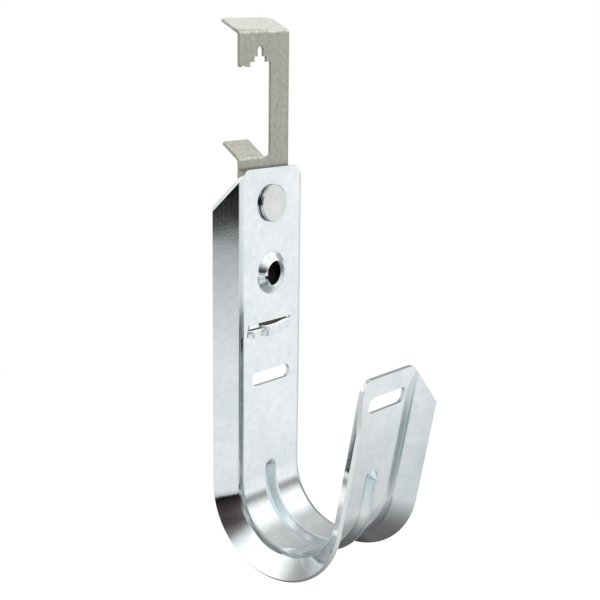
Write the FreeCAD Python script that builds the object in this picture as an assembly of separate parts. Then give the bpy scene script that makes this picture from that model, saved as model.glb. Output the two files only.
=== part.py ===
import FreeCAD, Part
import math
import os

# J hook for a small bundle of data cables: a folded strap hook with a spring clip riveted to its back.
# Lengths are in millimetres and angles in degrees.
# +Z is up, the hook opens upwards in front of its back strap (-Y), and the clip lies behind it (+Y).
# The origin is on the axis of the fixing hole, at the rim that a screw head seats on.

# Hook strap, a channel of one sheet whose two edges flare away from the cables
sheet = 1.1
strap_width = 25.6
strap_bend_inner = 1.9
flare_length = 7.8
flare_angle = 43.0
top_above_hole = 29.4
bend_below_hole = 58.6
hook_radius = 16.7
lip_lean = 10.5
lip_length = 40.9

# Cut corners at both ends of the strap, where they start and how far down a flare they end
corner_cut_from_middle = 10.4
back_cut_drop = 10.8
lip_cut_drop = 11.8
corner_radius = 2.4

# Fixing hole, on top of a cone that is pressed forwards
fixing_hole_diameter = 7.2
cone_base_diameter = 12.0
cone_height = 1.65
cone_bend_inner = 0.5
cone_margin = 1.2

# Stiffening rib round the bend, pressed away from the cables
rib_width = 4.2
rib_peak = 1.8
rib_bend_inner = 0.6
rib_margin = 1.3
rib_on_back = 1.1
rib_on_lip = 9.6

# Tie slots, one in the back and one in the lip
slot_length = 16.5
slot_height = 3.9
slot_end_flat = 0.002
back_slot_below_hole = 29.7
lip_slot_below_top = 7.5

# Stepped bridge lanced out of the back
bridge_below_hole = 15.4
bridge_length = 18.7
bridge_to_left = 0.6
bridge_height = 3.5
bridge_slit = 0.7
bridge_bend_inner = 0.3
bridge_overlap = 1.2
bridge_pad_rise = 1.25
bridge_pad_end = 4.65
bridge_pad_height = 1.9
bridge_rise = 2.4
bridge_flat_end = 9.8
bridge_foot_run = 0.6
ledge_start = 0.4
ledge_drop = 1.05
ledge_lean = 25.0

# Spring clip
clip_sheet = 0.8
clip_width = 20.5
clip_to_left = 1.95
clip_bend_inner = 0.4
clip_top_above_hole = 65.6
clip_end_below_hole = 21.5
clip_clearance = 0.02
clip_end_radius = 2.5
top_flange_length = 7.4
top_flange_rise = 28.0
top_flange_skew = 1.6
top_flange_far_radius = 3.0
top_flange_near_radius = 0.8
tab_above_hole = 32.35
tab_length = 7.4
tab_rise = 36.7
tab_width = 10.3
tab_corner_radius = 0.5
jaw_opening = 24.1
web_width = 7.65
web_fillet = 1.2

# Stepped notch over the jaw, for a rod, a thin rod or a wire
notch_from_left = 8.5
mouth_reach_left = 4.25
mouth_depth = 1.35
mouth_radius = 0.3
step_width = 5.0
step_depth = 1.4
wire_slot_width = 2.5
wire_slot_depth = 2.7
wire_slot_radius = 1.1

# Small nick in the edge under the notch
nick_from_left = 0.8
nick_rise_run = 0.6
nick_height = 0.55
nick_fall_run = 2.4

# Rivet
rivet_above_hole = 19.6
rivet_shank_diameter = 5.0
rivet_head_diameter = 10.5
rivet_head_height = 1.1
rivet_head_edge = 0.35
rivet_tail_diameter = 8.0
rivet_tail_height = 1.5
rivet_tail_edge = 0.9

# Faces that follow from these sizes
strap_front = cone_height
strap_back = strap_front + sheet
half_strap = strap_width / 2
half_flat = half_strap - (strap_bend_inner + sheet) * math.tan(math.radians(flare_angle / 2))
flare_reach = flare_length * math.cos(math.radians(flare_angle))
flare_depth = flare_length * math.sin(math.radians(flare_angle))
bend_plane = -bend_below_hole
bend_sweep = 180 - lip_lean
beyond = 2 * (top_above_hole + bend_below_hole)


def turned_back(across):
    """How far the back of the strap has turned away from its flat, at a distance across from the middle."""
    turn = math.radians(flare_angle)
    past = max(across - half_flat, 0)
    past_bend = max(past - strap_bend_inner * math.sin(turn), 0)
    within_bend = past - past_bend
    rise = strap_bend_inner - math.sqrt(strap_bend_inner ** 2 - within_bend ** 2)
    return rise + past_bend * math.tan(turn)


# The clip's edges reach over the bends of the strap, so it lies clear of them
clip_left = -clip_to_left - clip_width / 2
clip_right = clip_left + clip_width
clip_front = strap_back + turned_back(max(-clip_left, clip_right)) + clip_clearance
clip_back = clip_front + clip_sheet

X_AXIS = FreeCAD.Vector(1, 0, 0)
Y_AXIS = FreeCAD.Vector(0, 1, 0)
Z_AXIS = FreeCAD.Vector(0, 0, 1)
bend_centre = FreeCAD.Vector(0, strap_front - hook_radius, bend_plane)


def plan_point(x, y):
    """Point of a section that lies flat, at the height where the back meets the bend."""
    return FreeCAD.Vector(x, y, bend_plane)


def front_point(x, z, y=0.0):
    """Point of an outline that is seen from the front."""
    return FreeCAD.Vector(x, y, z)


def rounded_face(corners, radii):
    """Flat face through the corners, with a tangent arc at each corner whose radius isn't zero."""
    count = len(corners)
    runs = []
    for index, corner in enumerate(corners):
        radius = radii[index]
        if radius == 0:
            runs.append((corner, None, corner))
            continue
        back = (corners[index - 1] - corner).normalize()
        on = (corners[(index + 1) % count] - corner).normalize()
        half_angle = back.getAngle(on) / 2
        setback = radius / math.tan(half_angle)
        inwards = (back + on).normalize()
        middle = corner + inwards * (radius / math.sin(half_angle) - radius)
        runs.append((corner + back * setback, middle, corner + on * setback))
    edges = []
    for index, (start, middle, end) in enumerate(runs):
        if middle is not None:
            edges.append(Part.Arc(start, middle, end).toShape())
        next_start = runs[(index + 1) % count][0]
        if (next_start - end).Length > 1e-6:
            edges.append(Part.LineSegment(end, next_start).toShape())
    return Part.Face(Part.Wire(edges))


def bent_section(corners, through, inner_radius, thickness):
    """Section of a bent sheet. The corners lie on one face, and through points into the sheet at the first."""
    normal = through.cross(corners[1] - corners[0]).normalize()
    other = []
    radii = []
    other_radii = []
    last = len(corners) - 1
    for index, corner in enumerate(corners):
        before = (corner - corners[index - 1]).normalize() if index > 0 else None
        after = (corners[index + 1] - corner).normalize() if index < last else before
        before = before or after
        into_before = before.cross(normal)
        into_after = after.cross(normal)
        other.append(corner + (into_before + into_after) * (thickness / (1 + into_before.dot(into_after))))
        turn = after.dot(into_before)
        if abs(turn) < 1e-9:
            radii.append(0)
            other_radii.append(0)
        elif turn > 0:
            radii.append(inner_radius + thickness)
            other_radii.append(inner_radius)
        else:
            radii.append(inner_radius)
            other_radii.append(inner_radius + thickness)
    return rounded_face(corners + other[::-1], radii + other_radii[::-1])


def obround_cutter(length, height, centre_z):
    """Long hole with round ends, cut from front to back."""
    radius = height / 2
    reach = length / 2
    corners = [front_point(-reach, centre_z - radius), front_point(reach, centre_z - radius),
               front_point(reach, centre_z + radius), front_point(-reach, centre_z + radius)]
    face = rounded_face(corners, [radius - slot_end_flat] * 4)
    return face.extrude(Y_AXIS * beyond).translated(Y_AXIS * (-beyond / 2))


def round_cutter(diameter, z):
    return Part.makeCylinder(diameter / 2, beyond, front_point(0, z, -beyond / 2), Y_AXIS)


def turn_onto_lip(shape):
    """Carry what is modelled straight below the bend plane round the bend, to its place on the lip."""
    turned = shape.copy()
    turned.rotate(bend_centre, X_AXIS, -bend_sweep)
    return turned


def end_outline(end_z, direction, cut_drop):
    """Prism that keeps the strap inside its cut corners, at the end that points up (+1) or down (-1)."""
    edge = half_strap + flare_reach
    crease_drop = half_strap - corner_cut_from_middle
    far = end_z - direction * beyond
    side = [front_point(edge + sheet, far), front_point(edge + sheet, end_z - direction * cut_drop),
            front_point(edge, end_z - direction * cut_drop),
            front_point(half_strap, end_z - direction * crease_drop),
            front_point(corner_cut_from_middle, end_z)]
    mirrored = [FreeCAD.Vector(-point.x, point.y, point.z) for point in reversed(side)]
    radii = [0, 0, 0, 0, corner_radius, corner_radius, 0, 0, 0, 0]
    face = rounded_face(side + mirrored, radii)
    return face.extrude(Y_AXIS * beyond).translated(Y_AXIS * (-beyond / 2))


def strap():
    """Channel section run up the back, round the bend and up the lip, with the corners cut at both ends."""
    section = bent_section(
        [plan_point(-half_strap - flare_reach, strap_front + flare_depth), plan_point(-half_strap, strap_front),
         plan_point(half_strap, strap_front), plan_point(half_strap + flare_reach, strap_front + flare_depth)],
        FreeCAD.Vector(flare_depth, flare_reach, 0), strap_bend_inner, sheet)
    back = section.extrude(Z_AXIS * (top_above_hole - bend_plane))
    back = back.common(end_outline(top_above_hole, 1, back_cut_drop))
    bend = section.revolve(bend_centre, X_AXIS, -bend_sweep)
    lip = section.extrude(Z_AXIS * -lip_length)
    lip = lip.common(end_outline(bend_plane - lip_length, -1, lip_cut_drop))
    return back.fuse([bend, turn_onto_lip(lip)]).removeSplitter()


def with_rib(hook):
    """Swap a band of the strap for one that is pressed into a rib, with a round end on the back and the lip."""
    half_rib = rib_width / 2
    half_band = half_rib + rib_margin
    section = bent_section(
        [plan_point(-half_band, strap_front), plan_point(-half_rib, strap_front),
         plan_point(0, strap_front + rib_peak), plan_point(half_rib, strap_front),
         plan_point(half_band, strap_front)], Y_AXIS, rib_bend_inner, sheet)
    plain = bent_section([plan_point(-half_band, strap_front), plan_point(half_band, strap_front)],
                         Y_AXIS, rib_bend_inner, sheet)
    right_half = Part.makeBox(beyond, beyond, beyond, FreeCAD.Vector(0, -beyond / 2, -beyond))
    half_section = section.common(right_half)
    half_plain = plain.common(right_half)

    def band(profile, half_profile):
        on_back = profile.extrude(Z_AXIS * rib_on_back)
        back_end = half_profile.revolve(plan_point(0, 0), Y_AXIS, -180).translated(Z_AXIS * rib_on_back)
        on_lip = profile.extrude(Z_AXIS * -rib_on_lip)
        lip_end = half_profile.revolve(plan_point(0, 0), Y_AXIS, 180).translated(Z_AXIS * -rib_on_lip)
        round_bend = profile.revolve(bend_centre, X_AXIS, -bend_sweep)
        return on_back.fuse([back_end, round_bend, turn_onto_lip(on_lip), turn_onto_lip(lip_end)])

    return hook.cut(band(plain, half_plain)).fuse(band(section, half_section)).removeSplitter()


def with_fixing_hole(hook):
    """Press a cone forwards and pierce its top, so that a screw head seats clear of the strap."""
    base = cone_base_diameter / 2
    rim = fixing_hole_diameter / 2
    slope = cone_height / (base - rim)
    inside_rim = rim / 2
    corners = [front_point(base + cone_margin, 0, strap_front), front_point(base, 0, strap_front),
               front_point(inside_rim, 0, (inside_rim - rim) * slope)]
    section = bent_section(corners, Y_AXIS, cone_bend_inner, sheet)
    cone = section.revolve(front_point(0, 0), Y_AXIS, 360)
    opened = hook.cut(round_cutter(2 * (base + cone_margin), 0))
    return opened.fuse(cone).cut(round_cutter(fixing_hole_diameter, 0))


def with_bridge(hook):
    """Lance a stepped strip out of the back: a low pad at its left and a higher bridge that ramps down."""
    left = -bridge_to_left - bridge_length / 2
    right = left + bridge_length
    top = -bridge_below_hole + bridge_height / 2
    bottom = top - bridge_height
    window = Part.makeBox(bridge_length, beyond, bridge_height, FreeCAD.Vector(left, -beyond / 2, bottom))
    pad_front = strap_front - bridge_pad_rise
    bridge_front = strap_front - bridge_rise
    step_start = left + bridge_pad_end
    step_end = step_start + bridge_foot_run
    path = [(left - bridge_overlap, strap_front), (left, strap_front), (left + bridge_foot_run, pad_front),
            (step_start, pad_front), (step_end, bridge_front), (left + bridge_flat_end, bridge_front),
            (right, strap_front), (right + bridge_overlap, strap_front)]
    section = bent_section([FreeCAD.Vector(x, y, bottom) for x, y in path], Y_AXIS, bridge_bend_inner, sheet)
    strip = section.extrude(Z_AXIS * (bridge_height - bridge_slit))
    above_pad = Part.makeBox(bridge_pad_end + bridge_foot_run / 2, beyond, bridge_height,
                             FreeCAD.Vector(left, -beyond / 2, bottom + bridge_pad_height))
    lean = math.radians(ledge_lean)
    ledge_corners = [FreeCAD.Vector(left + ledge_start, strap_front, top + bridge_overlap),
                     FreeCAD.Vector(left + ledge_start, strap_front, top),
                     FreeCAD.Vector(left + ledge_start, strap_front - ledge_drop * math.sin(lean),
                                    top - ledge_drop * math.cos(lean))]
    ledge = bent_section(ledge_corners, Y_AXIS, bridge_bend_inner, sheet)
    ledge = ledge.extrude(X_AXIS * (bridge_pad_end - 2 * ledge_start))
    return hook.cut(window).fuse([strip.cut(above_pad), ledge]).removeSplitter()


def hook_strap():
    hook = with_bridge(with_fixing_hole(with_rib(strap())))
    hook = hook.cut(obround_cutter(slot_length, slot_height, -back_slot_below_hole))
    lip_slot = obround_cutter(slot_length, slot_height, bend_plane - lip_length + lip_slot_below_top)
    hook = hook.cut(turn_onto_lip(lip_slot.common(
        Part.makeBox(beyond, 2 * hook_radius, beyond,
                     FreeCAD.Vector(-beyond / 2, strap_front - hook_radius, bend_plane - beyond)))))
    return hook.cut(round_cutter(rivet_shank_diameter, rivet_above_hole))


def clip_flange(left, width, fold_z, length, rise, skew, far_left_radius, far_right_radius):
    """Flange bent backwards from an upper edge of the clip, and the heights at which its bend starts."""
    width = width / math.cos(math.radians(skew))
    bend_angle = 90 - rise
    front_radius = clip_bend_inner + clip_sheet
    setback = front_radius * math.tan(math.radians(bend_angle / 2))
    start_z = fold_z - setback
    axis_point = front_point(0, start_z, clip_front + front_radius)
    root = rounded_face(
        [front_point(left, start_z, clip_front), front_point(left + width, start_z, clip_front),
         front_point(left + width, start_z, clip_back), front_point(left, start_z, clip_back)], [0] * 4)
    bend = root.revolve(axis_point, X_AXIS, -bend_angle)
    end_z = start_z + length - setback
    flat = rounded_face(
        [front_point(left, start_z, clip_front), front_point(left + width, start_z, clip_front),
         front_point(left + width, end_z, clip_front), front_point(left, end_z, clip_front)],
        [0, 0, far_right_radius, far_left_radius]).extrude(Y_AXIS * clip_sheet)
    flat.rotate(axis_point, X_AXIS, -bend_angle)
    flange = bend.fuse(flat)
    flange.rotate(front_point(left, start_z), Y_AXIS, -skew)
    return flange, start_z, start_z + width * math.sin(math.radians(skew))


def spring_clip():
    """Flat C of spring steel: a notched top plate, a web at its right and a plate riveted to the strap."""
    top_flange, top_left_z, top_right_z = clip_flange(
        clip_left, clip_width, clip_top_above_hole, top_flange_length, top_flange_rise, top_flange_skew,
        top_flange_near_radius, top_flange_far_radius)
    tab, tab_z, _ = clip_flange(
        clip_left, tab_width, tab_above_hole, tab_length, tab_rise, 0, tab_corner_radius, tab_corner_radius)
    web_left = clip_right - web_width
    jaw_top = tab_above_hole + jaw_opening
    notch = clip_left + notch_from_left
    mouth_top = jaw_top + mouth_depth
    step_top = mouth_top + step_depth
    slot_top = step_top + wire_slot_depth
    mouth_left = notch - mouth_reach_left
    nick_left = clip_left + nick_from_left
    nick_top = nick_left + nick_rise_run
    nick_right = nick_top + nick_fall_run
    outline = [
        (clip_left, top_left_z, 0), (clip_right, top_right_z, 0),
        (clip_right, -clip_end_below_hole, clip_end_radius), (clip_left, -clip_end_below_hole, clip_end_radius),
        (clip_left, tab_z, 0), (clip_left + tab_width, tab_z, 0), (clip_left + tab_width, tab_above_hole, 0),
        (web_left, tab_above_hole, web_fillet),
        (web_left, mouth_top, mouth_radius), (notch + step_width / 2, mouth_top, 0),
        (notch + step_width / 2, step_top, 0), (notch + wire_slot_width / 2, step_top, 0),
        (notch + wire_slot_width / 2, slot_top, wire_slot_radius),
        (notch - wire_slot_width / 2, slot_top, wire_slot_radius),
        (notch - wire_slot_width / 2, step_top, 0), (notch - step_width / 2, step_top, 0),
        (notch - step_width / 2, mouth_top, 0), (mouth_left, mouth_top, 0), (mouth_left, jaw_top, mouth_radius),
        (nick_right, jaw_top, 0), (nick_top, jaw_top + nick_height, 0), (nick_left, jaw_top, 0),
        (clip_left, jaw_top, nick_from_left)]
    plate = rounded_face([front_point(x, z, clip_front) for x, z, _ in outline],
                         [radius for _, _, radius in outline]).extrude(Y_AXIS * clip_sheet)
    clip = plate.fuse([top_flange, tab]).removeSplitter()
    return clip.cut(round_cutter(rivet_shank_diameter, rivet_above_hole))


def rivet():
    """Rivet turned about its own axis: a flat head, the shank, and a formed head with a cone edge behind."""
    shank = rivet_shank_diameter / 2
    head = rivet_head_diameter / 2
    tail = rivet_tail_diameter / 2
    head_face = strap_front - rivet_head_height
    tail_face = clip_back + rivet_tail_height
    profile = [(0, head_face, 0), (head, head_face, rivet_head_edge), (head, strap_front, 0),
               (shank, strap_front, 0), (shank, clip_back, 0), (tail, clip_back, 0),
               (tail, tail_face - rivet_tail_edge, 0), (tail - rivet_tail_edge, tail_face, 0), (0, tail_face, 0)]
    face = rounded_face([front_point(x, rivet_above_hole, y) for x, y, _ in profile],
                        [radius for _, _, radius in profile])
    return face.revolve(front_point(0, rivet_above_hole), Y_AXIS, 360)


os.makedirs("parts", exist_ok=True)
for name, shape in (("hook_strap", hook_strap()), ("spring_clip", spring_clip()), ("rivet", rivet())):
    solid = shape.Solids[0]
    print(name, len(shape.Solids), "solid", shape.isValid(), round(solid.Volume, 1), solid.BoundBox)
    solid.exportStep(f"parts/{name}.step")
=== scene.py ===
import math
import bmesh
import bpy
from bpy.props import FloatProperty, FloatVectorProperty, PointerProperty
from mathutils import Matrix, Vector
from mathutils.bvhtree import BVHTree


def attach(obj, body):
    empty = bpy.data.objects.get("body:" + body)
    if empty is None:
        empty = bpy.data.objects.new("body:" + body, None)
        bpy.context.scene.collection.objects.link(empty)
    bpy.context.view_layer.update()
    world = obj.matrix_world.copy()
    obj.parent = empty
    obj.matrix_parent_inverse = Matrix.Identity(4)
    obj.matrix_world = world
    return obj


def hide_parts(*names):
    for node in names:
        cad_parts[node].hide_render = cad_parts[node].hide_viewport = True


# Dresses a folded J hook with its spring clip and rivet, and sets the studio that it is pictured in.
# Lengths are in metres. +Z is up, the hook opens in front at -Y, and the clip lies behind at +Y.

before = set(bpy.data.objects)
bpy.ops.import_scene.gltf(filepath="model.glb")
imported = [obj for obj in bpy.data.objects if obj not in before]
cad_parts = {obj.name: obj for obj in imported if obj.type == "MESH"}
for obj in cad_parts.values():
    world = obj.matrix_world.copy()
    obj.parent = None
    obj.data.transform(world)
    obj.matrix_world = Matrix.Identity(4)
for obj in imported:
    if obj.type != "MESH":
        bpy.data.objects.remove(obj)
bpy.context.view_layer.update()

bl_info = {
    "name": "J hook cable support",
    "version": (1, 0, 0),
    "blender": (4, 5, 0),
    "location": "3D View > Sidebar > J Hook",
    "description": "Dresses a folded J hook, its spring clip and its rivet, and lights them",
    "category": "Object",
}

# The strip that the hook is folded from, which its finish follows round the bend. Along the strip,
# 0 is where the bend starts. The back lies above it, and the bend and then the lip lie below.
PLATE_FRONT = 0.00165
HOOK_RADIUS = 0.0167
BEND_CENTRE_Y = PLATE_FRONT - HOOK_RADIUS
BEND_CENTRE_Z = -0.0586
BEND_SWEEP = math.radians(169.5)
FLARE_TURN = math.radians(43)

# Facets of a solid that lie this flat to each other are joined, and corners sharper than this are rounded
MERGE_DISTANCE = 2e-5
FLAT_ANGLE = math.radians(0.06)
EDGE_ANGLE = math.radians(35)
EDGE_STEPS = 2

# A sheared face is less wide than this many sheets, with more than this many sheets of metal behind it.
# The metal behind is measured from a start just under the face, by this share of a sheet.
CUT_WIDTH = 1.1
CUT_DEPTH = 1.3
CUT_START = 0.02

# The fixing hole's wall, and the lanced bridge with its torn edges. A tilt is measured on a face's normal.
HOLE_REACH = 0.0042
HOLE_TILT = 0.3
BRIDGE_HEIGHTS = (-0.021, -0.010)
BRIDGE_REACH = 0.0115
BRIDGE_HIGH_FRONT = 0.0014
BRIDGE_MATT = 0.4

# The rib: its reach to each side, its stretches along the strip, and how far the press has dulled it
RIB_REACH = 0.0030
RIB_GROOVE = (-0.030, 0.0016)
RIB_WALLS = (-0.045, 0.0016)
RIB_END_ON_LIP = (-0.0625, -0.0565)
RIB_FADE = (-0.013, -0.019)
RIB_DULL_AT_TOP = 0.8
RIB_DULL_ROUND_BEND = 0.3
RIB_MATT = 0.6
# A rib wall tilts to the side more than this, and gets this share of painted shade
WALL_TILT = 0.35
WALL_SHADE = 0.22

# The walls of the tie slots, and the lip's top edge. The lip's own slot and that edge lie past its rib's end.
SLOT_REACH = 0.0095
BACK_SLOT = (0.020, 0.036)
LIP_PAST_RIB = -0.062
# Share of painted shade on those sheared walls
SLOT_SHADE = 0.7

# The long folds between the strip and its flares, which carry painted shade, less at the back's top and on
# the lip
FOLD_REACH = (0.0116, 0.0138)
FOLD_SLACK = 0.03
FOLD_FADE = (0.050, 0.0425)
FOLD_SHADE_AT_TOP = 0.25
FOLD_SHADE_ON_LIP = 0.35
LIP_START = -0.050

# The clip: how its two folds face, and where its coat changes, from nothing to full: the painted light on its
# top, and its painted shade behind the strap, lighter behind the bridge
CLIP_FOLD_UPWARD = (0.08, 0.74)
CLIP_FOLD_FORWARD = -0.2
CLIP_FRONT = (0.0033, 0.0030)
CLIP_PAINTED_TOP_LIGHT = (0.0660, 0.0665)
CLIP_PAINTED_SHADE = (0.0065, 0.0055)
CLIP_PAINTED_LIGHT_BEHIND_BRIDGE = (-0.0060, -0.0080)

# Painted contact shadows: nothing at the outer places, full between the inner ones
CLIP_CONTACT_SHADOW = (0.0288, 0.0292, 0.0296, 0.0302)
RIVET_SEAM_SHADOW = (0.00120, 0.00145, 0.0024, 0.0028)

# The table that the metal reflects: places on it, and its brightness by distance from them or from the middle
HOOK_SHADE_CENTRE = (0.020, -0.015)
HOOK_SHADE = ((0.0, 0.13), (0.03, 0.16), (0.045, 0.19), (0.078, 0.35), (0.117, 0.55), (0.15, 0.74),
              (0.2, 0.82), (0.25, 0.9), (0.4, 1.0))
DARK_SPOT_CENTRE = (0.045, 0.052)
FAR_LEFT = ((0.0, 1.0), (0.3, 0.96), (0.4, 0.91), (0.54, 0.84), (0.75, 0.7), (0.86, 0.62), (0.98, 0.56),
            (1.06, 0.49), (1.12, 0.29), (1.18, 0.06), (1.24, 0.0), (2.0, 0.0))

# The room as the metal reflects it: brightness by height over the horizon in degrees
LEFT_BOX = ((-10, 0.01), (2, 0.03), (18, 0.04), (26, 0.09), (33, 0.25), (37, 0.5), (40, 0.8), (46, 1.2),
            (50, 1.5), (58, 1.5), (63, 0.4), (75, 0.36), (90, 0.5))
BETWEEN_BOXES = ((-10, 0.01), (2, 0.03), (10, 0.1), (18, 0.35), (26, 0.7), (36, 0.8), (46, 0.56),
                 (64, 0.3), (90, 0.45))
RIGHT_BOX = ((-10, 1.05), (-2, 0.95), (2.5, 0.6), (5, 0.4), (8.5, 0.42), (12, 0.7), (19.5, 1.25),
             (36, 1.35), (48, 0.8), (90, 0.5))
BACK_LEFT = ((-10, 0.4), (16, 0.42), (25, 0.48), (31, 0.59), (37, 0.82), (43, 1.15), (49, 1.4), (58, 1.4),
             (63, 0.45), (90, 0.5))
BACK_RIGHT = ((-10, 0.5), (16, 0.52), (30, 0.6), (44, 0.72), (60, 0.6), (90, 0.5))

# Colours of the studio
BLACK = (0.0, 0.0, 0.0)
WHITE = (1.0, 1.0, 1.0)
FLOOR_GREY = (0.9, 0.9, 0.9)
TABLE_TINT = (1.05, 1.07, 1.08)
CARD_TINT = (0.78, 1.12, 1.15)
SIDE_PANEL = (1.15, 1.15, 1.15)
DARK_TINT = (1.15, 0.93, 0.88)


class HookSizes(bpy.types.PropertyGroup):
    strap_edge: FloatProperty(
        name="Strap edge", description="Rounding of the strap's sheared edges",
        default=0.00016, unit="LENGTH", precision=5)
    strap_sheet: FloatProperty(
        name="Strap sheet", description="Thickness of the strap's sheet",
        default=0.0011, unit="LENGTH", precision=5)
    clip_edge: FloatProperty(
        name="Clip edge", description="Rounding of the clip's sheared edges and of the rivet's edges",
        default=0.00014, unit="LENGTH", precision=5)
    clip_sheet: FloatProperty(
        name="Clip sheet", description="Thickness of the clip's sheet",
        default=0.0008, unit="LENGTH", precision=5)


class HookColours(bpy.types.PropertyGroup):
    zinc_pale: FloatVectorProperty(
        name="Zinc, pale", description="Zinc plate where it is thickest",
        default=(0.83, 0.84, 0.845), subtype="COLOR")
    zinc_cool: FloatVectorProperty(
        name="Zinc, cool", description="Zinc plate where it has a blue cast",
        default=(0.69, 0.735, 0.755), subtype="COLOR")
    zinc_pressed: FloatVectorProperty(
        name="Zinc, pressed", description="Zinc plate in the rib, dulled and cooled by the press",
        default=(0.76, 0.89, 0.93), subtype="COLOR")
    # Painted shade: darkened zinc in the long folds, on the slot walls and on the rib walls
    zinc_painted_shade: FloatVectorProperty(
        name="Zinc, stained", description="Darkened zinc plate in the long folds and slots",
        default=(0.30, 0.37, 0.38), subtype="COLOR")
    cut_steel: FloatVectorProperty(
        name="Cut steel", description="Sheared faces, where the plate is thin",
        default=(0.92, 0.92, 0.91), subtype="COLOR")
    coat_light: FloatVectorProperty(
        name="Clip coat, light", description="Raised grain of the clip's coat",
        default=(0.338, 0.333, 0.298), subtype="COLOR")
    coat_dark: FloatVectorProperty(
        name="Clip coat, dark", description="Hollows in the clip's coat",
        default=(0.248, 0.243, 0.2), subtype="COLOR")
    # Painted shade: a darker coat on the sheared faces and, speckled by the grain, on the rounded rims
    coat_edge_shade: FloatVectorProperty(
        name="Clip coat, edges", description="Coat where it thins over the sheared edges",
        default=(0.22, 0.215, 0.185), subtype="COLOR")
    # Painted light: a lighter coat for highlights along the folds and for the top face
    coat_painted_light: FloatVectorProperty(
        name="Clip coat, rubbed", description="Coat rubbed bright along the folds and on the top",
        default=(0.49, 0.495, 0.47), subtype="COLOR")
    # Painted shade: a nearly black coat where the clip lies behind the strap
    coat_painted_shade: FloatVectorProperty(
        name="Clip coat, behind the strap", description="Dark coat where the strap's back lies over the clip",
        default=(0.012, 0.012, 0.013), subtype="COLOR")
    rivet_satin: FloatVectorProperty(
        name="Rivet", description="Satin head of the rivet",
        default=(0.72, 0.72, 0.71), subtype="COLOR")
    # Painted contact shadow where the clip and the rivet's head meet the strap
    painted_contact_shadow: FloatVectorProperty(
        name="Grime", description="Dark line where the clip and the rivet's head meet the strap",
        default=(0.06, 0.06, 0.05), subtype="COLOR")


class HookStudio(bpy.types.PropertyGroup):
    camera_place: FloatVectorProperty(
        name="Camera", description="Where the camera stands",
        default=(-0.2595, -0.21495, 0.0647), subtype="TRANSLATION")
    camera_azimuth: FloatProperty(
        name="Azimuth", description="Way the camera faces, from +Y towards -X",
        default=math.radians(-51.525), subtype="ANGLE")
    camera_drop: FloatProperty(
        name="Drop", description="How far the camera looks down",
        default=math.radians(13.06), subtype="ANGLE")
    camera_roll: FloatProperty(
        name="Roll", description="Tilt of the camera about its own axis",
        default=math.radians(0.71), subtype="ANGLE")
    camera_lens: FloatProperty(
        name="Lens", description="Focal length in millimetres, on a 36 mm wide sensor", default=73.62)
    camera_shift: FloatProperty(
        name="Shift", description="Upward shift of the frame, as a share of its width", default=0.0342)
    floor_drop: FloatProperty(
        name="Floor", description="How far the floor lies below the fixing hole",
        default=0.168, unit="LENGTH")
    key_power: FloatProperty(
        name="Key", description="Power of the key lamp", default=9.0, unit="POWER")


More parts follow.
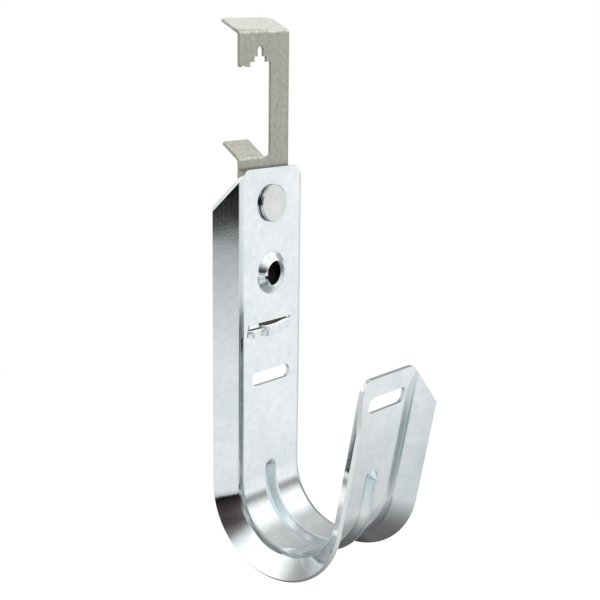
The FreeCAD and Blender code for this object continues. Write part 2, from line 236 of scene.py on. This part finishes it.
class Nodes:
    """Short ways to add and join the nodes of one tree."""

    def __init__(self, tree):
        self.tree = tree
        tree.nodes.clear()

    def add(self, kind, inputs=(), **settings):
        node = self.tree.nodes.new(kind)
        for name, value in settings.items():
            setattr(node, name, value)
        for key, value in dict(inputs).items():
            self.feed(node.inputs[key], value)
        return node

    def feed(self, socket, value):
        """Join a socket to another one, or set its plain value."""
        if isinstance(value, bpy.types.NodeSocket):
            self.tree.links.new(value, socket)
        elif socket.type == "RGBA" and len(value) == 3:
            socket.default_value = (*value, 1)
        else:
            socket.default_value = value

    def math(self, operation, *values):
        node = self.add("ShaderNodeMath", operation=operation)
        for socket, value in zip(node.inputs, values):
            self.feed(socket, value)
        return node.outputs[0]

    def product(self, first, *others):
        for other in others:
            first = self.math("MULTIPLY", first, other)
        return first

    def total(self, first, *others):
        for other in others:
            first = self.math("ADD", first, other)
        return first

    def larger(self, first, second):
        return self.math("MAXIMUM", first, second)

    def mixture(self, *parts):
        """Sum of parts, each a pair of a value and its weight."""
        return self.total(*(self.product(value, weight) for value, weight in parts))

    def attribute(self, name, output="Fac"):
        return self.add("ShaderNodeAttribute", attribute_name=name).outputs[output]

    def place(self, output="Object"):
        """A point's place, and that place's three axes."""
        point = self.add("ShaderNodeTexCoord").outputs[output]
        return point, self.add("ShaderNodeSeparateXYZ", {"Vector": point}).outputs

    def noise(self, vector, scale, detail, roughness):
        node = self.add("ShaderNodeTexNoise",
                        {"Vector": vector, "Scale": scale, "Detail": detail, "Roughness": roughness})
        return node.outputs["Fac"]

    def stretched(self, vector, scale):
        return self.add("ShaderNodeMapping", {"Vector": vector, "Scale": scale}).outputs[0]

    def span(self, value, low, high, to_low=0.0, to_high=1.0, soft=False):
        """Turn a value between low and high into one between to_low and to_high, level outside."""
        node = self.add("ShaderNodeMapRange", {"Value": value, "From Min": low, "From Max": high,
                                               "To Min": to_low, "To Max": to_high},
                        interpolation_type="SMOOTHSTEP" if soft else "LINEAR")
        return node.outputs[0]

    def spread(self, noise, to_low, to_high):
        """Turn a noise, which keeps near its middle, into a value between to_low and to_high."""
        return self.span(noise, 0.3, 0.7, to_low, to_high)

    def band(self, value, start, full, full_to, end, soft=False):
        """1 from full to full_to, and 0 before start and after end."""
        return self.product(self.span(value, start, full, soft=soft),
                            self.span(value, end, full_to, soft=soft))

    def outside(self, value, full_to, start, end, full):
        """0 from start to end, and 1 before full_to and after full."""
        return self.larger(self.span(value, end, full, soft=True),
                           self.span(value, start, full_to, soft=True))

    def distance(self, axes, centre=(0.0, 0.0)):
        """Level distance from a centre."""
        x = self.math("SUBTRACT", axes["X"], centre[0])
        y = self.math("SUBTRACT", axes["Y"], centre[1])
        return self.math("SQRT", self.total(self.product(x, x), self.product(y, y)))

    def bearing(self, axes):
        """Level angle in degrees, from the front round to the right."""
        turn = self.math("ARCTAN2", axes["X"], self.product(axes["Y"], -1.0))
        return self.product(turn, math.degrees(1))

    def blend(self, share, first, second, blend_type="MIX"):
        """Colour that goes from first to second, or to their product, as share goes from 0 to 1."""
        node = self.add("ShaderNodeMix", data_type="RGBA", blend_type=blend_type)
        self.feed(node.inputs[0], share)
        self.feed(node.inputs[6], first)
        self.feed(node.inputs[7], second)
        return node.outputs[2]

    def blend_value(self, share, first, second):
        node = self.add("ShaderNodeMix", data_type="FLOAT")
        self.feed(node.inputs[0], share)
        self.feed(node.inputs[2], first)
        self.feed(node.inputs[3], second)
        return node.outputs[0]

    def ramp(self, value, stops):
        """Grey level that follows a value through stops of (value, level), the lowest first."""
        low, high = stops[0][0], stops[-1][0]
        node = self.add("ShaderNodeValToRGB", {"Fac": self.span(value, low, high)})
        points = node.color_ramp.elements
        for at, _ in stops[1:-1]:
            points.new((at - low) / (high - low))
        for point, (_, level) in zip(points, stops):
            point.color = (level, level, level, 1)
        return node.outputs["Color"]

    def relief(self, *layers):
        """Surface normal that layers of (height, depth in metres) raise, one over the other."""
        inputs = {"Strength": 1.0}
        for height, depth in layers:
            inputs.update({"Height": height, "Distance": depth})
            inputs["Normal"] = self.add("ShaderNodeBump", inputs).outputs[0]
        return inputs["Normal"]

    def skin(self, inputs):
        """Finish a material with one shader for its whole surface."""
        shader = self.add("ShaderNodeBsdfPrincipled", inputs)
        self.add("ShaderNodeOutputMaterial", {"Surface": shader.outputs[0]})

    def glow(self, colour):
        return self.add("ShaderNodeEmission", {"Color": colour, "Strength": 1.0}).outputs[0]

    def sky(self, colour):
        return self.add("ShaderNodeBackground", {"Color": colour, "Strength": 1.0}).outputs[0]

    def by_ray(self, to_camera, to_metal):
        """One shader for what the camera sees, and another for what the metal reflects."""
        seen = self.add("ShaderNodeLightPath").outputs["Is Camera Ray"]
        return self.add("ShaderNodeMixShader", {0: seen, 1: to_metal, 2: to_camera}).outputs[0]


def new_material(name):
    material = bpy.data.materials.new(name)
    material.use_nodes = True
    return material, Nodes(material.node_tree)


def bright_zinc(colours):
    """Bright zinc plate: clouds, rolling streaks along the strip, fine grain, and duller sheared faces."""
    material, nodes = new_material("bright_zinc")
    strip = nodes.attribute("strip", "Vector")
    cut = nodes.attribute("cut")
    matt = nodes.attribute("matt")
    clouds = nodes.noise(strip, scale=70, detail=3, roughness=0.55)
    waves = nodes.noise(strip, scale=130, detail=1, roughness=0.4)
    mottle = nodes.noise(strip, scale=420, detail=2, roughness=0.5)
    grain = nodes.noise(strip, scale=1900, detail=2, roughness=0.6)
    streaks = nodes.noise(nodes.stretched(strip, (2400, 60, 2400)), scale=1, detail=2, roughness=0.6)

    tone = nodes.span(nodes.mixture((clouds, 0.55), (mottle, 0.45)), 0.36, 0.64)
    colour = nodes.blend(tone, colours.zinc_cool, colours.zinc_pale)
    worn = nodes.product(nodes.attribute("rim"), nodes.span(grain, 0.45, 0.62))
    bare = nodes.larger(nodes.product(cut, 0.8), nodes.product(worn, 0.5))
    colour = nodes.blend(bare, colour, colours.cut_steel)
    pressed = nodes.product(nodes.attribute("rib"), nodes.math("SUBTRACT", 1.0, cut))
    colour = nodes.blend(pressed, colour, colours.zinc_pressed)
    # Painted shade in the long folds, on the slot walls and on the rib walls, varied by the mottle
    shaded = nodes.product(nodes.attribute("painted_shade"), nodes.spread(mottle, 0.7, 1.0))
    colour = nodes.blend(shaded, colour, colours.zinc_painted_shade)

    smooth = nodes.total(nodes.spread(clouds, 0.055, 0.09), nodes.spread(streaks, 0.0, 0.025))
    dull = nodes.larger(nodes.product(bare, 0.34), nodes.product(pressed, 0.36))
    dull = nodes.larger(dull, nodes.product(matt, 0.4))
    nodes.skin({"Base Color": colour, "Metallic": nodes.span(matt, 0.0, 1.0, 1.0, 0.25),
                "Roughness": nodes.total(smooth, dull),
                "Normal": nodes.relief((waves, 1.0e-5), (streaks, 1.5e-6), (grain, 2.6e-6))})
    return material


def clip_coat(colours):
    """Matte grey coat with a raised grain: painted shade on edges and behind the strap, painted light on
    folds and top.
    """
    material, nodes = new_material("grey_clip_coat")
    place, axes = nodes.place()
    height = axes["Z"]
    patches = nodes.noise(place, scale=750, detail=2, roughness=0.5)
    scuffs = nodes.noise(place, scale=900, detail=2, roughness=0.6)
    grain = nodes.noise(place, scale=1500, detail=3, roughness=0.6)
    streaks = nodes.noise(nodes.stretched(place, (900, 900, 70)), scale=1, detail=2, roughness=0.5)

    mixed = nodes.mixture((patches, 0.4), (streaks, 0.2), (grain, 0.4))
    colour = nodes.blend(nodes.span(mixed, 0.37, 0.63), colours.coat_dark, colours.coat_light)
    # Painted shade on the sheared faces and, speckled by the grain, on the rounded rims
    thin = nodes.larger(nodes.product(nodes.attribute("cut"), 0.55),
                        nodes.product(nodes.attribute("rim"), nodes.span(grain, 0.4, 0.7, 0.1, 0.7)))
    colour = nodes.blend(thin, colour, colours.coat_edge_shade)
    # Painted highlight on the folds' faces that face up and forward, speckled like scuffs, and painted light
    # on the top face
    highlighted = nodes.product(nodes.attribute("fold"), nodes.span(scuffs, 0.42, 0.62, 0.0, 0.85))
    top = nodes.product(nodes.span(height, *CLIP_PAINTED_TOP_LIGHT), nodes.span(mixed, 0.4, 0.6, 0.42, 0.57))
    colour = nodes.blend(nodes.larger(highlighted, top), colour, colours.coat_painted_light)

    # Painted contact shadow on the clip's front, along the strap's top edge
    front = nodes.span(axes["Y"], *CLIP_FRONT)
    contact = nodes.product(front, nodes.band(height, *CLIP_CONTACT_SHADOW), 0.7)
    colour = nodes.blend(contact, colour, colours.painted_contact_shadow)
    # Painted shade: behind the strap the clip's front is nearly black and loses its sheen; lower, behind the
    # bridge, painted light lifts it to the edge colour
    behind = nodes.product(front, nodes.span(height, *CLIP_PAINTED_SHADE))
    painted_shade_and_light = nodes.blend(nodes.span(height, *CLIP_PAINTED_LIGHT_BEHIND_BRIDGE), colours.coat_painted_shade, colours.coat_edge_shade)
    nodes.skin({"Base Color": nodes.blend(behind, colour, painted_shade_and_light),
                "Roughness": nodes.spread(grain, 0.42, 0.62),
                "Specular IOR Level": nodes.blend_value(behind, 0.5, 0.0),
                "Normal": nodes.relief((patches, 4e-5), (grain, 3.5e-5))})
    return material


def satin_rivet(colours):
    """Satin steel of the rivet, faintly clouded, with a painted contact shadow where its head meets the
    strap.
    """
    material, nodes = new_material("satin_rivet")
    place, axes = nodes.place()
    clouds = nodes.noise(place, scale=190, detail=3, roughness=0.5)
    grain = nodes.noise(place, scale=2600, detail=2, roughness=0.6)
    satin = nodes.add("ShaderNodeHueSaturation",
                      {"Color": colours.rivet_satin, "Value": nodes.spread(clouds, 0.86, 1.04)})
    # Painted contact shadow where the head meets the strap
    colour = nodes.blend(nodes.band(axes["Y"], *RIVET_SEAM_SHADOW), satin.outputs[0], colours.painted_contact_shadow)
    nodes.skin({"Base Color": colour, "Metallic": 1.0, "Roughness": nodes.spread(clouds, 0.15, 0.22),
                "Normal": nodes.relief((clouds, 1.5e-5), (grain, 2e-6))})
    return material


def within(value, ends):
    return ends[0] < value < ends[1]


def faded(value, ends, first, last):
    """Straight change from first to last as a value goes from one end to the other, level outside."""
    share = (value - ends[0]) / (ends[1] - ends[0])
    return first + (last - first) * max(0.0, min(1.0, share))


def along_strip(point):
    """Where a point of the hook lies on its unfolded strip: across, along, and off the inner face."""
    y = point.y - BEND_CENTRE_Y
    z = point.z - BEND_CENTRE_Z
    if z >= 0 and y > 0:
        return Vector((point.x, z, y - HOOK_RADIUS))
    angle = math.atan2(-z, y)
    if 0 <= angle <= BEND_SWEEP:
        return Vector((point.x, -HOOK_RADIUS * angle, math.hypot(y, z) - HOOK_RADIUS))
    up_lip = -y * math.sin(BEND_SWEEP) - z * math.cos(BEND_SWEEP)
    out = y * math.cos(BEND_SWEEP) - z * math.sin(BEND_SWEEP)
    return Vector((point.x, -HOOK_RADIUS * BEND_SWEEP - up_lip, out - HOOK_RADIUS))


def rib_share(along):
    """How far the press has dulled the rib: in its groove, and at its round end on the lip."""
    if within(along, RIB_GROOVE):
        return faded(along, RIB_FADE, RIB_DULL_AT_TOP, RIB_DULL_ROUND_BEND)
    return 1.0 if within(along, RIB_END_ON_LIP) else 0.0


def fold_share(face, along):
    """How much painted shade a face of a long fold gets. A face in the middle of the fold's turn gets most.
    """
    turned = math.asin(min(1.0, abs(face.normal.x)))
    if not within(abs(face.center.x), FOLD_REACH) or not FOLD_SLACK <= turned <= FLARE_TURN - FOLD_SLACK:
        return 0.0
    share = 1.0 - abs(2 * turned / FLARE_TURN - 1.0)
    if along < LIP_START:
        return share * FOLD_SHADE_ON_LIP
    return share * faded(along, FOLD_FADE, FOLD_SHADE_AT_TOP, 1.0)


def mark_strap(mesh):
    """Write what the zinc plate reads: where each point lies on the strip, and each corner's wear and painted
    shade.
    """
    places = [along_strip(vertex.co) for vertex in mesh.vertices]
    strip = mesh.attributes.new("strip", "FLOAT_VECTOR", "POINT")
    for place, value in zip(places, strip.data):
        value.vector = place
    cut = [value.value for value in mesh.attributes["cut"].data]
    rib, matt, painted_shade = [0.0] * len(cut), [0.0] * len(cut), [0.0] * len(cut)
    for face in mesh.polygons:
        x, y, z = face.center
        along = along_strip(face.center).y
        is_cut = cut[face.loop_start] > 0.5
        in_hole = abs(face.normal.y) < HOLE_TILT and math.hypot(x, z) < HOLE_REACH
        at_bridge = within(z, BRIDGE_HEIGHTS) and abs(x) < BRIDGE_REACH and along > 0
        in_rib = all(abs(places[vertex].x) < RIB_REACH for vertex in face.vertices)
        on_wall = in_rib and within(along, RIB_WALLS) and abs(face.normal.x) > WALL_TILT
        at_slot = is_cut and abs(x) < SLOT_REACH and (within(along, BACK_SLOT) or along < LIP_PAST_RIB)
        # Painted shade in the folds, on the slot walls and on the rib walls
        shaded = max(fold_share(face, along), SLOT_SHADE if at_slot else 0.0, WALL_SHADE if on_wall else 0.0)
        for corner, vertex in zip(face.loop_indices, face.vertices):
            painted_shade[corner] = shaded
            if in_rib:
                rib[corner] = rib_share(places[vertex].y)
                matt[corner] = RIB_MATT * rib[corner] if along > RIB_GROOVE[0] else 0.0
            if in_hole or at_bridge and is_cut:
                cut[corner] = matt[corner] = 1.0
            elif at_bridge and y < BRIDGE_HIGH_FRONT:
                matt[corner] = BRIDGE_MATT
    for name, values in (("cut", cut), ("rib", rib), ("matt", matt), ("painted_shade", painted_shade)):
        marks = mesh.attributes.get(name) or mesh.attributes.new(name, "FLOAT", "CORNER")
        marks.data.foreach_set("value", values)


def mark_clip_fold_highlights(mesh):
    """Mark the faces of the clip's two folds that face up and forward, which get a painted highlight."""
    fold = mesh.attributes.new("fold", "FLOAT", "CORNER")
    for face in mesh.polygons:
        if within(face.normal.z, CLIP_FOLD_UPWARD) and face.normal.y < CLIP_FOLD_FORWARD:
            for corner in face.loop_indices:
                fold.data[corner].value = 1.0


def rounded_copy(node_name, piece_name, rounding, sheet):
    """Piece from a CAD node: flats joined, sharp edges rounded, and its rims and sheared faces marked."""
    bm = bmesh.new()
    bm.from_mesh(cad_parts[node_name].data)
    bmesh.ops.remove_doubles(bm, verts=bm.verts, dist=MERGE_DISTANCE)
    bmesh.ops.dissolve_limit(bm, angle_limit=FLAT_ANGLE, verts=bm.verts, edges=bm.edges)
    walls = BVHTree.FromBMesh(bm)
    cut = bm.loops.layers.float.new("cut")
    rim = bm.loops.layers.float.new("rim")
    for face in bm.faces:
        start = face.calc_center_median() - face.normal * (sheet * CUT_START)
        _, _, _, depth = walls.ray_cast(start, -face.normal)
        width = 2 * face.calc_area() / face.calc_perimeter()
        is_cut = width < CUT_WIDTH * sheet and depth is not None and depth > CUT_DEPTH * sheet
        for loop in face.loops:
            loop[cut] = 1.0 if is_cut else 0.0
    sharp = [edge for edge in bm.edges if edge.calc_face_angle(0) > EDGE_ANGLE]
    made = bmesh.ops.bevel(bm, geom=sharp, offset=rounding, offset_type="OFFSET", affect="EDGES",
                           segments=EDGE_STEPS, profile=0.5, material=-1, clamp_overlap=True)
    for face in made["faces"]:
        for loop in face.loops:
            loop[rim] = 1.0
    for face in bm.faces:
        face.smooth = True
    mesh = bpy.data.meshes.new(piece_name)
    bm.to_mesh(mesh)
    bm.free()
    piece = bpy.data.objects.new(piece_name, mesh)
    bpy.context.scene.collection.objects.link(piece)
    normals = piece.modifiers.new("even_faces", "WEIGHTED_NORMAL")
    normals.mode = "FACE_AREA"
    normals.keep_sharp = True
    return piece


def finish_piece(piece, node_name, material):
    """Give a piece its finish and put it in its CAD node's place."""
    piece.data.materials.clear()
    piece.data.materials.append(material)
    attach(piece, "root")
    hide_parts(node_name)


class JHOOK_OT_dress_strap(bpy.types.Operator):
    """Make the hook strap: rounded sheared edges, and bright zinc plate that follows the folded strip"""
    bl_idname = "jhook.dress_strap"
    bl_label = "Hook strap"

    def execute(self, context):
        sizes = context.scene.hook_sizes
        piece = rounded_copy("hook_strap", "zinc_hook_strap", sizes.strap_edge, sizes.strap_sheet)
        mark_strap(piece.data)
        finish_piece(piece, "hook_strap", bright_zinc(context.scene.hook_colours))
        return {"FINISHED"}


class JHOOK_OT_dress_clip(bpy.types.Operator):
    """Make the spring clip: rounded sheared edges under a matte grey coat"""
    bl_idname = "jhook.dress_clip"
    bl_label = "Spring clip"

    def execute(self, context):
        sizes = context.scene.hook_sizes
        piece = rounded_copy("spring_clip", "coated_spring_clip", sizes.clip_edge, sizes.clip_sheet)
        mark_clip_fold_highlights(piece.data)
        finish_piece(piece, "spring_clip", clip_coat(context.scene.hook_colours))
        return {"FINISHED"}


class JHOOK_OT_dress_rivet(bpy.types.Operator):
    """Make the rivet, with its flat satin head. It isn't cut from sheet, so it has no sheared faces"""
    bl_idname = "jhook.dress_rivet"
    bl_label = "Rivet"

    def execute(self, context):
        piece = rounded_copy("rivet", "satin_rivet", context.scene.hook_sizes.clip_edge, 0.0)
        finish_piece(piece, "rivet", satin_rivet(context.scene.hook_colours))
        return {"FINISHED"}


def floor_material():
    """Pale floor: white with the object's shadow to the camera, and a glowing table with painted shade and
    cards to the metal.
    """
    material, nodes = new_material("pale_floor")
    _, axes = nodes.place()
    away = nodes.distance(axes)
    bearing = nodes.bearing(axes)

    # The hook's shade is painted on the table round it, which also falls off far to the left and a little to
    # the right
    shade = nodes.ramp(nodes.distance(axes, HOOK_SHADE_CENTRE), HOOK_SHADE)
    lit_side = nodes.outside(bearing, -100, -75, -27, -10)
    side = nodes.blend_value(lit_side, nodes.ramp(away, FAR_LEFT), 1.0)
    far_right = nodes.product(nodes.span(bearing, 74, 96, soft=True), nodes.span(away, 0.35, 0.5, soft=True))
    near_right = nodes.band(axes["X"], 0.05, 0.12, 0.17, 0.25, soft=True)
    dark_spot = nodes.distance(axes, DARK_SPOT_CENTRE)

    # Two dark cards are painted on the table in front of the hook, the far one nearly black
    across = nodes.band(bearing, -21, -12, 37, 46, soft=True)
    far_card = nodes.band(away, 0.3, 0.36, 0.66, 0.74, soft=True)
    near_card = nodes.band(away, 0.17, 0.21, 0.24, 0.28, soft=True)
    cards = nodes.product(across, nodes.mixture((far_card, 0.98), (near_card, 0.45)))

    level = nodes.product(shade, side, nodes.math("SUBTRACT", 1.0, cards),
                          nodes.span(far_right, 0.0, 1.0, 1.0, 0.68),
                          nodes.span(dark_spot, 0.015, 0.05, 0.03, 1.0),
                          nodes.span(near_right, 0.0, 1.0, 1.0, 0.92))
    to_metal = nodes.glow(nodes.blend(level, BLACK, nodes.blend(cards, TABLE_TINT, CARD_TINT)))
    lit = nodes.add("ShaderNodeBsdfDiffuse", {"Color": FLOOR_GREY}).outputs[0]
    clear = nodes.span(away, 0.2, 0.7, 0.86, 1.0, soft=True)
    to_camera = nodes.add("ShaderNodeMixShader", {0: clear, 1: lit, 2: nodes.glow(WHITE)}).outputs[0]
    nodes.add("ShaderNodeOutputMaterial", {"Surface": nodes.by_ray(to_camera, to_metal)})
    return material


def studio_world(scene):
    """White to the camera. To the metal, soft boxes left and right of the object in a dark room."""
    world = bpy.data.worlds.new("studio")
    scene.world = world
    world.use_nodes = True
    nodes = Nodes(world.node_tree)
    _, axes = nodes.place("Generated")
    height = nodes.product(nodes.math("ARCSINE", axes["Z"]), math.degrees(1))
    bearing = nodes.bearing(axes)

    # In front, from the left box over the dark stretch to the right box
    left = nodes.blend(nodes.span(bearing, -48, -34, soft=True),
                       nodes.ramp(height, LEFT_BOX), nodes.ramp(height, BETWEEN_BOXES))
    front = nodes.blend(nodes.span(bearing, -22, 10, soft=True), left, nodes.ramp(height, RIGHT_BOX))

    # Behind, and a bright panel low down behind on the left
    back = nodes.blend(nodes.span(axes["X"], -0.1, 0.1),
                       nodes.ramp(height, BACK_LEFT), nodes.ramp(height, BACK_RIGHT))
    level = nodes.blend(nodes.outside(bearing, -150, -105, 64, 86), front, back)
    panel = nodes.product(nodes.band(bearing, -166, -150, -92, -72, soft=True),
                          nodes.span(height, 40, 30, soft=True))
    level = nodes.blend(panel, level, SIDE_PANEL)

    tint = nodes.blend(nodes.span(level, 0.04, 0.3), DARK_TINT, WHITE)
    to_metal = nodes.sky(nodes.blend(1.0, level, tint, blend_type="MULTIPLY"))
    nodes.add("ShaderNodeOutputWorld", {"Surface": nodes.by_ray(nodes.sky(WHITE), to_metal)})


def lay_floor(scene, drop):
    """Round floor under the object, which isn't part of it."""
    bm = bmesh.new()
    bmesh.ops.create_circle(bm, cap_ends=True, radius=4.0, segments=96)
    bmesh.ops.translate(bm, verts=bm.verts, vec=(0, 0, -drop))
    mesh = bpy.data.meshes.new("floor")
    bm.to_mesh(mesh)
    bm.free()
    mesh.materials.append(floor_material())
    floor = bpy.data.objects.new("floor", mesh)
    scene.collection.objects.link(floor)


def hang_lamp(scene, name, bearing, height, distance, size, power):
    """Square soft lamp that faces the object and isn't seen in the metal."""
    data = bpy.data.lights.new(name, "AREA")
    data.shape = "SQUARE"
    data.size = size
    data.energy = power
    lamp = bpy.data.objects.new(name, data)
    lamp.visible_glossy = False
    scene.collection.objects.link(lamp)
    bearing = math.radians(bearing)
    height = math.radians(height)
    level = math.cos(height)
    way = Vector((math.sin(bearing) * level, -math.cos(bearing) * level, math.sin(height)))
    lamp.location = way * distance
    lamp.rotation_euler = way.to_track_quat("Z", "Y").to_euler()


def place_camera(scene, studio):
    """Camera that stands and looks as the photograph's did."""
    data = bpy.data.cameras.new("camera")
    data.sensor_fit = "HORIZONTAL"
    data.sensor_width = 36.0
    data.lens = studio.camera_lens
    data.shift_y = studio.camera_shift
    data.clip_start = 0.01
    data.clip_end = 20
    camera = bpy.data.objects.new("camera", data)
    scene.collection.objects.link(camera)
    azimuth = studio.camera_azimuth
    drop = studio.camera_drop
    level = math.cos(drop)
    forward = Vector((-math.sin(azimuth) * level, math.cos(azimuth) * level, -math.sin(drop)))
    rightward = forward.cross(Vector((0, 0, 1))).normalized()
    upward = rightward.cross(forward)
    turn = Matrix.Rotation(studio.camera_roll, 3, -forward)
    axes = Matrix((turn @ rightward, turn @ upward, -forward)).transposed()
    camera.matrix_world = Matrix.Translation(studio.camera_place) @ axes.to_4x4()
    scene.camera = camera


class JHOOK_OT_set_stage(bpy.types.Operator):
    """Set the floor, the studio round it, the key lamp and the camera"""
    bl_idname = "jhook.set_stage"
    bl_label = "Studio"

    def execute(self, context):
        scene = context.scene
        studio = scene.hook_studio
        lay_floor(scene, studio.floor_drop)
        studio_world(scene)
        hang_lamp(scene, "key", bearing=-25, height=60, distance=0.9, size=0.35, power=studio.key_power)
        place_camera(scene, studio)
        scene.view_settings.view_transform = "Standard"
        return {"FINISHED"}


class JHOOK_PT_panel(bpy.types.Panel):
    """Lists the steps that make the object, and its sizes and colours"""
    bl_idname = "JHOOK_PT_panel"
    bl_label = "J hook"
    bl_space_type = "VIEW_3D"
    bl_region_type = "UI"
    bl_category = "J Hook"

    def draw(self, context):
        for operator in OPERATORS:
            self.layout.operator(operator.bl_idname, text=operator.bl_label)
        for group in (context.scene.hook_sizes, context.scene.hook_colours, context.scene.hook_studio):
            for name in group.__annotations__:
                self.layout.prop(group, name)


OPERATORS = (JHOOK_OT_dress_strap, JHOOK_OT_dress_clip, JHOOK_OT_dress_rivet, JHOOK_OT_set_stage)
CLASSES = (HookSizes, HookColours, HookStudio, *OPERATORS, JHOOK_PT_panel)


def register():
    for cls in CLASSES:
        bpy.utils.register_class(cls)
    bpy.types.Scene.hook_sizes = PointerProperty(type=HookSizes)
    bpy.types.Scene.hook_colours = PointerProperty(type=HookColours)
    bpy.types.Scene.hook_studio = PointerProperty(type=HookStudio)


def unregister():
    del bpy.types.Scene.hook_studio
    del bpy.types.Scene.hook_colours
    del bpy.types.Scene.hook_sizes
    for cls in reversed(CLASSES):
        bpy.utils.unregister_class(cls)


def main():
    register()
    bpy.ops.jhook.dress_strap()
    bpy.ops.jhook.dress_clip()
    bpy.ops.jhook.dress_rivet()
    bpy.ops.jhook.set_stage()


if __name__ == "__main__":
    main()
